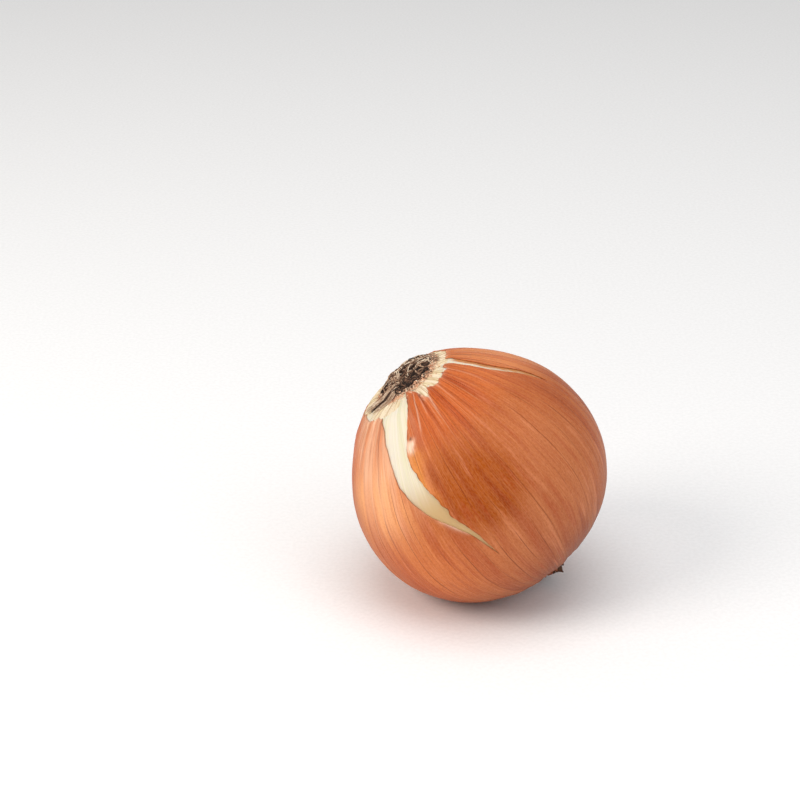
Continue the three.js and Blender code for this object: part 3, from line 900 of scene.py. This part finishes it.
def mat_height(x, y):
    """Height of the mat, or of the root end round it, at a place in the bulb's frame."""
    from_middle = np.hypot(x - MAT_SHIFT[0], y - MAT_SHIFT[1])
    hollow = 1.1 * np.exp(-(((x - 1.5) / 5) ** 2) - ((y + 0.8) / 2.2) ** 2)
    dome = np.maximum(1 - (1 - MAT_RIM) * (from_middle / MAT_RADIUS) ** 2, 0)
    on_mat = MAT_SEAT + MAT_DOME * dome - hollow
    blend = smooth(from_middle, MAT_RADIUS - 0.3, MAT_RADIUS + 1.4)
    return on_mat * (1 - blend) + (ring_height(np.hypot(x, y)) - FLESH_INSET + 0.15) * blend


def root_paths(count, seed, length, curl, layers):
    """Dried roots that leave the mat, bend over and wander across it, most of them along its long
    way. Returns their paths, radii and tones."""
    rng = np.random.default_rng(seed)
    steps = 12
    radius = (MAT_RADIUS - 0.4) * np.sqrt(rng.uniform(0, 1, count))
    around = rng.uniform(0, 2 * math.pi, count)
    x, y = round_mat(radius, around)
    heading = math.radians(28) + math.pi * rng.integers(0, 2, count) + rng.normal(0, 0.7, count)
    bend = rng.normal(0, curl, count)
    stride = length * rng.uniform(0.5, 1.3, count) / steps
    layer = layers * rng.uniform(0, 1, count) ** 1.5
    paths = np.zeros((count, steps, 3))
    for i in range(steps):
        rise = math.sin(math.pi * (i + 0.4) / steps)
        lift = -0.35 + (0.4 + layer) * rise + rng.normal(0, 0.06, count)
        paths[:, i] = stacked(x, y, mat_height(x, y) + lift)
        bend = bend * 0.8 + rng.normal(0, curl * 0.65, count)
        heading = heading + bend
        x, y = x + stride * np.cos(heading), y + stride * np.sin(heading)
        # a root that comes to the rim turns back in
        dx, dy = MAT_SHIFT[0] - x, MAT_SHIFT[1] - y
        back = (np.arctan2(dy, dx) - heading + math.pi) % (2 * math.pi) - math.pi
        at_rim = smooth(np.hypot(dx, dy), MAT_RADIUS - 1.2, MAT_RADIUS + 0.4)
        heading = heading + 0.7 * back * at_rim
    taper = np.sin(math.pi * (np.arange(steps) + 0.8) / (steps + 0.6)) ** 0.5
    girth = rng.uniform(0.1, 0.21, count)[:, None] * taper[None, :]
    # painted shade: the roots on the near side of the mat are darker, those on the far side lighter
    far = smooth(paths[:, 5, 1], -2.5, 3.5)
    # painted shade: the roots that lie deep in the mat are darker
    raised = 0.4 + 0.6 * smooth(layer / layers, 0.1, 0.5)
    tone = np.clip((rng.beta(0.6, 0.8, count) * (0.46 + 0.42 * far) + 0.1 * far) * raised, 0, 1)
    return paths, girth, tone


def strand_paths():
    """A strand of longer roots that lies out over the rim of the mat to the skin, dark in its
    middle and straw-coloured at its sides."""
    rng = np.random.default_rng(29)
    count, steps = 110, 12
    paths = np.zeros((count, steps, 3))
    side = rng.uniform(-1, 1, count)
    for k in range(count):
        reach_out = rng.uniform(10.2, 14.5)
        for i in range(steps):
            share = i / (steps - 1)
            radius = 3.5 + (reach_out - 3.5) * share
            way = math.radians(-157 + 36 * (1 - share) + (24 - 8 * share) * side[k])
            way = way + rng.normal(0, 0.012)
            x, y = round_mat(radius, way)
            pile = 0.6 * (1 - side[k] ** 2) * math.sin(math.pi * min(share + 0.1, 1))
            pile = pile + rng.normal(0, 0.05)
            paths[k, i] = (x, y, mat_height(x, y) + 0.25 + pile)
    taper = 1 - 0.6 * np.linspace(0, 1, steps) ** 2
    girth = rng.uniform(0.06, 0.12, count)[:, None] * taper[None, :]
    dark = np.exp(-(((side - 0.15) / 0.16) ** 2))
    return paths, girth, np.clip(rng.uniform(0.45, 0.95, count) - 0.8 * dark, 0, 1)


def stray_paths():
    """Single roots and pale torn fibres that stick out from the mat's rim over the scale ends."""
    rng = np.random.default_rng(37)
    count, steps = 520, 12
    paths = np.zeros((count, steps, 3))
    turn, bend = rng.uniform(0, 2 * math.pi, count), rng.normal(0, 0.5, count)
    pale = rng.uniform(0, 1, count) < 0.65
    long = rng.uniform(1.2, 3.4, count) + 1.6 * pale * np.exp(-((turn_off(turn, -165) / 60) ** 2))
    high = np.where(pale, 0.08, 0.4) * rng.uniform(0.3, 1, count)
    for i in range(steps):
        share = i / (steps - 1)
        radius = MAT_RADIUS - 1.0 + long * share
        way = turn + bend * share**2 * long / MAT_RADIUS + rng.normal(0, 0.006, count)
        x, y = round_mat(radius, way)
        paths[:, i] = stacked(x, y, mat_height(x, y) + 0.02 + high * math.sin(math.pi * share))
    girth = np.where(pale, rng.uniform(0.035, 0.08, count), rng.uniform(0.05, 0.1, count))
    girth = girth[:, None] * (1 - 0.7 * np.linspace(0, 1, steps) ** 2)[None, :]
    return paths, girth, np.where(pale, rng.uniform(0.55, 1, count), rng.uniform(0.05, 0.7, count))


def root_plate():
    """The corky plate under the roots: a domed disc with a lumpy top."""
    rows, columns = 30, 110
    share, turn = round_grid(rows, columns)
    radius = MAT_RADIUS * (0.95 + 0.04 * wander(np.degrees(turn) / 9, 51, 40))
    radius = radius * np.minimum(share / 0.9, 1)
    x, y = round_mat(radius, turn)
    lumps = 0.3 * wander(x * 1.2 + 50, 52) * wander(y * 1.2 + 50, 53)
    drop = smooth(share, 0.9, 1.0)
    z = (mat_height(x, y) - 0.5 + lumps) * (1 - drop) + MAT_SEAT * drop
    points = np.vstack([stacked(x, y, z), [[*MAT_SHIFT, MAT_SEAT]]])
    faces = grid_faces(rows, columns, closed=True).tolist()
    last = (rows - 1) * columns
    faces += [[len(points) - 1, last + (j + 1) % columns, last + j] for j in range(columns)]
    tone = {"tone": np.zeros(len(points))}
    return mended(new_piece("root_plate", points, faces, ROOTS, tone), 0.01)


def root_mat():
    """The whole mat: short roots, longer ones over them, the strand, single ones and the plate."""
    kinds = (
        root_paths(count=470, seed=7, length=5.2, curl=0.4, layers=0.4),
        root_paths(count=270, seed=8, length=7.5, curl=0.5, layers=0.8),
        strand_paths(),
        stray_paths(),
    )
    paths, girths, tones = (np.concatenate(part) for part in zip(*kinds))
    mat = swept("root_mat", paths, girths, tones, ROOTS, sides=5)
    plate = root_plate()
    bpy.ops.object.select_all(action="DESELECT")
    plate.select_set(True)
    mat.select_set(True)
    bpy.context.view_layer.objects.active = mat
    bpy.ops.object.join()
    mat.data.transform(TO_PART)
    mat.data.update()
    return mat


# The torn ends of the inner scales round the roots


def scale_ends():
    """Two ragged rings of papery scale ends between the roots and the skin. The outer one laps a
    little over the skin's torn edge."""
    points, faces, grains, rootward = [], [], [], []
    start = 0
    rows, columns = 16, 840
    to_collar = 34.6  # mm from the bulb's centre to the skin's torn edge
    for inner, lap, rise, seed in ((0.4, 0.9, 0.06, 71), (1.6, -1.6, 0.12, 81)):
        share, turn = round_grid(rows, columns, -math.pi)
        deg = np.degrees(turn)
        far = np.clip(to_collar * np.sin(np.radians(collar(turn))) + lap, 4.2, 14.6)
        far = far + torn(turn, seed, 120, 0.4) + torn(turn, seed + 1, 320, 0.5)
        # from the bulb's axis to the rim of the mat, which isn't centred on it
        x, y = np.cos(turn), np.sin(turn)
        along = MAT_SHIFT[0] * x + MAT_SHIFT[1] * y
        within = along**2 - (MAT_SHIFT[0] ** 2 + MAT_SHIFT[1] ** 2) + (MAT_RADIUS - inner) ** 2
        close = along + np.sqrt(np.maximum(within, 1))
        close = np.minimum(close + torn(turn, seed + 2, 60, 0.3), far - 0.8)
        radius = close + (far - close) * share
        pleats = 0.1 * wander(deg / 1.2, seed + 3, 300) + 0.08 * wander(deg / 4.5, seed + 4, 80)
        tuck = (0.12 if lap > 0 else 0.06) * smooth(share, 0.75, 1.0)
        height = ring_height(radius) - FLESH_INSET + rise
        height = height + pleats * (1 - smooth(share, 0.6, 1)) - tuck
        height = height + 0.5 * (1 - smooth(share, 0.0, 0.4))
        points.append(stacked(radius * x, radius * y, height))
        grains.append(with_the_grain(np.arctan2(radius, height), turn))
        rootward.append((1 - smooth(share, 0.0, 0.75)).ravel())
        faces.append(grid_faces(rows, columns, closed=True) + start)
        start += rows * columns
    attributes = {"grain": np.concatenate(grains), "rootward": np.concatenate(rootward)}
    points, faces = to_part(np.concatenate(points)), np.concatenate(faces).tolist()
    piece = new_piece("inner_scale_ends", points, faces, SCALE_ENDS, attributes)
    return thickened(piece, 0.12, -1)


def crumb_tree():
    """Uneven crumbs on the points of a mesh."""
    inputs = {"Smallest": "Float", "Largest": "Float", "Flatness": "Float"}
    tree, given = new_tree("strewn_crumbs", inputs)
    crumb = add(tree, "GeometryNodeMeshIcoSphere", {"Radius": 1.0, "Subdivisions": 1})
    chance = "FunctionNodeRandomValue"
    size = add(tree, chance, {2: given["Smallest"], 3: given["Largest"], "Seed": 3}, 1)
    long = add(tree, chance, {2: 0.8, 3: 2.2, "Seed": 4}, 1)
    scale = add(tree, "ShaderNodeCombineXYZ", {
        0: add(tree, MATH, {0: size, 1: long}, operation="MULTIPLY"),
        1: size,
        2: add(tree, MATH, {0: size, 1: given["Flatness"]}, operation="MULTIPLY"),
    })
    half_turn = 3.14
    spin = {0: (-half_turn,) * 3, 1: (half_turn,) * 3, "Seed": 5}
    spin = add(tree, chance, spin, data_type="FLOAT_VECTOR")
    rotation = add(tree, "FunctionNodeEulerToRotation", {0: spin})
    laid = add(tree, "GeometryNodeInstanceOnPoints", {
        "Points": given["Geometry"], "Instance": crumb, "Rotation": rotation, "Scale": scale,
    })
    return end_tree(tree, given, laid)


def skin_crumbs():
    """Crumbs round the rim of the mat, most of them on the near side, and some strewn outwards."""
    rng = np.random.default_rng(43)
    count = 760
    near_side = rng.uniform(0, 1, count) < 0.7
    close_by, anywhere = rng.normal(-1.0, 0.75, count), rng.uniform(-math.pi, math.pi, count)
    turn = np.where(near_side, close_by, anywhere)
    radius = MAT_RADIUS - 0.5 + rng.exponential(0.75, count)
    x, y = round_mat(radius, turn)
    keep = np.hypot(x, y) < 12.4  # inside the skin's torn edge
    x, y = x[keep], y[keep]
    z = mat_height(x, y) + rng.uniform(-0.05, 0.25, len(x))
    sizes = {"Smallest": 0.07, "Largest": 0.25, "Flatness": 0.35, "Material": CRUMBS}
    piece = run_tree(new_piece("skin_crumbs", stacked(x, y, z), []), crumb_tree(), sizes)
    piece.data.transform(TO_PART)
    piece.data.update()
    return piece


# The neck


def leaf_tips():
    """Dead leaf bases that stand in the neck: thin curled strips that end in uneven points."""
    rng = np.random.default_rng(61)
    points, faces, grains = [], [], []
    start, strips, rows, columns = 0, 11, 22, 9
    along, across = np.meshgrid(np.linspace(0, 1, rows), np.linspace(-1, 1, columns), indexing="ij")
    foot = NECK_START - 1.1
    for k in range(strips):
        turn0 = 2 * math.pi * (k + 0.6 * rng.uniform()) / strips
        ring = 0.7 + 0.75 * (k % 3) + 0.3 * rng.uniform()
        end = STUB_END - rng.uniform(0, 1.7)
        width = math.radians(rng.uniform(55, 95))
        curl, twist = rng.uniform(-0.5, 0.5), rng.uniform(-0.5, 0.5)
        narrow = 1 - smooth(along, 0.55, 1.0) * 0.92
        turn = turn0 + twist * along + 0.5 * width * across * narrow
        radius = ring * (1 + 0.1 * np.cos(3 * math.pi * across)) + curl * smooth(along, 0.6, 1.0)
        radius = radius - 0.25 * across**2
        depth = foot + (end - foot) * along
        ragged = 0.25 * wander(across * 3 + 9 * k + 20, 62) * smooth(along, 0.7, 1.0)
        lean = 0.4 + 1.2 * along
        x, y = np.cos(turn), np.sin(turn)
        points.append(stacked(lean + radius * x, radius * y, -(depth + ragged)))
        grains.append(stacked(x, y, along))
        faces.append(grid_faces(rows, columns) + start)
        start += rows * columns
    points, faces = to_part(np.concatenate(points), 0.1), np.concatenate(faces).tolist()
    piece = new_piece("dry_leaf_tips", points, faces, LEAF, {"grain": np.concatenate(grains)})
    return thickened(piece, 0.16, 0)


for piece, node_name, slot_name in (
    (skin_sheet(), "papery_skin", "papery_skin"),
    (flesh_body(), "fleshy_bulb", "onion_flesh"),
    (root_mat(), "root_tuft", "dried_roots"),
    (leaf_tips(), "leaf_stub", "dried_leaf"),
    (scale_ends(), None, "papery_skin"),
    (skin_crumbs(), None, "papery_skin"),
):
    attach(piece, "root")
    if node_name:
        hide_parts(node_name)


# Studio


def white_floor():
    half = 4
    corners = [(-half, -half, 0), (half, -half, 0), (half, half, 0), (-half, half, 0)]
    board = finish("matt_white_board", matt_white_board)
    new_piece("floor", corners, [(0, 1, 2, 3)], board)


def soft_light(name, azimuth, elevation, distance, size, power, colour):
    """A round soft box that faces the onion, with its sizes in metres and its power in watts.
    Azimuth 0 is at the camera's side, and it goes up to the right."""
    a, e = math.radians(azimuth), math.radians(elevation)
    place = Vector((math.sin(a) * math.cos(e), -math.cos(a) * math.cos(e), math.sin(e))) * distance
    data = bpy.data.lights.new(name, "AREA")
    data.shape, data.size, data.energy = "DISK", size, power
    data.color = linear(colour)[:3]
    lamp = bpy.data.objects.new(name, data)
    lamp.location = place + Vector((0, 0, CENTRE_HEIGHT * MM))
    lamp.rotation_euler = (-place).to_track_quat("-Z", "Y").to_euler()
    bpy.context.scene.collection.objects.link(lamp)


def studio():
    white_floor()
    soft_light("key", -62, 36, 0.9, 0.5, 3.6, "#FFF8F0")
    soft_light("fill", 50, 42, 1.0, 0.6, 1.3, "#F8F9FF")
    soft_light("top", 0, 80, 1.0, 0.9, 4.3, "#FFFFFF")
    world = bpy.data.worlds.new("studio")
    world.use_nodes = True
    world.node_tree.nodes["Background"].inputs["Color"].default_value = (1, 1, 1, 1)
    world.node_tree.nodes["Background"].inputs["Strength"].default_value = 0.45
    bpy.context.scene.world = world
    view = bpy.context.scene.view_settings
    view.view_transform = "Standard"
    view.look = "None"


def camera():
    """As in the photo: 25 degrees above the floor, at 3.75 pixels a millimetre in an 800 pixel
    frame, with the bulb's middle 78.5 pixels right of the frame's and 75.8 below it."""
    elevation, distance = math.radians(25), 590.0
    scale, picture, sensor = 3.75, 800, 36
    up = Vector((0, math.sin(elevation), math.cos(elevation)))
    back = Vector((0, -math.cos(elevation), math.sin(elevation)))
    aim = Vector((0, 0, CENTRE_HEIGHT)) - Vector((1, 0, 0)) * 78.5 / scale + up * 75.8 / scale
    data = bpy.data.cameras.new("camera")
    data.sensor_width = sensor
    data.lens = scale * distance / picture * sensor
    data.clip_start, data.clip_end = 0.01, 20
    eye = bpy.data.objects.new("camera", data)
    eye.location = (aim + back * distance) * MM
    eye.rotation_euler = (math.pi / 2 - elevation, 0, 0)
    bpy.context.scene.collection.objects.link(eye)
    bpy.context.scene.camera = eye


studio()
camera()

bpy.context.view_layer.update()
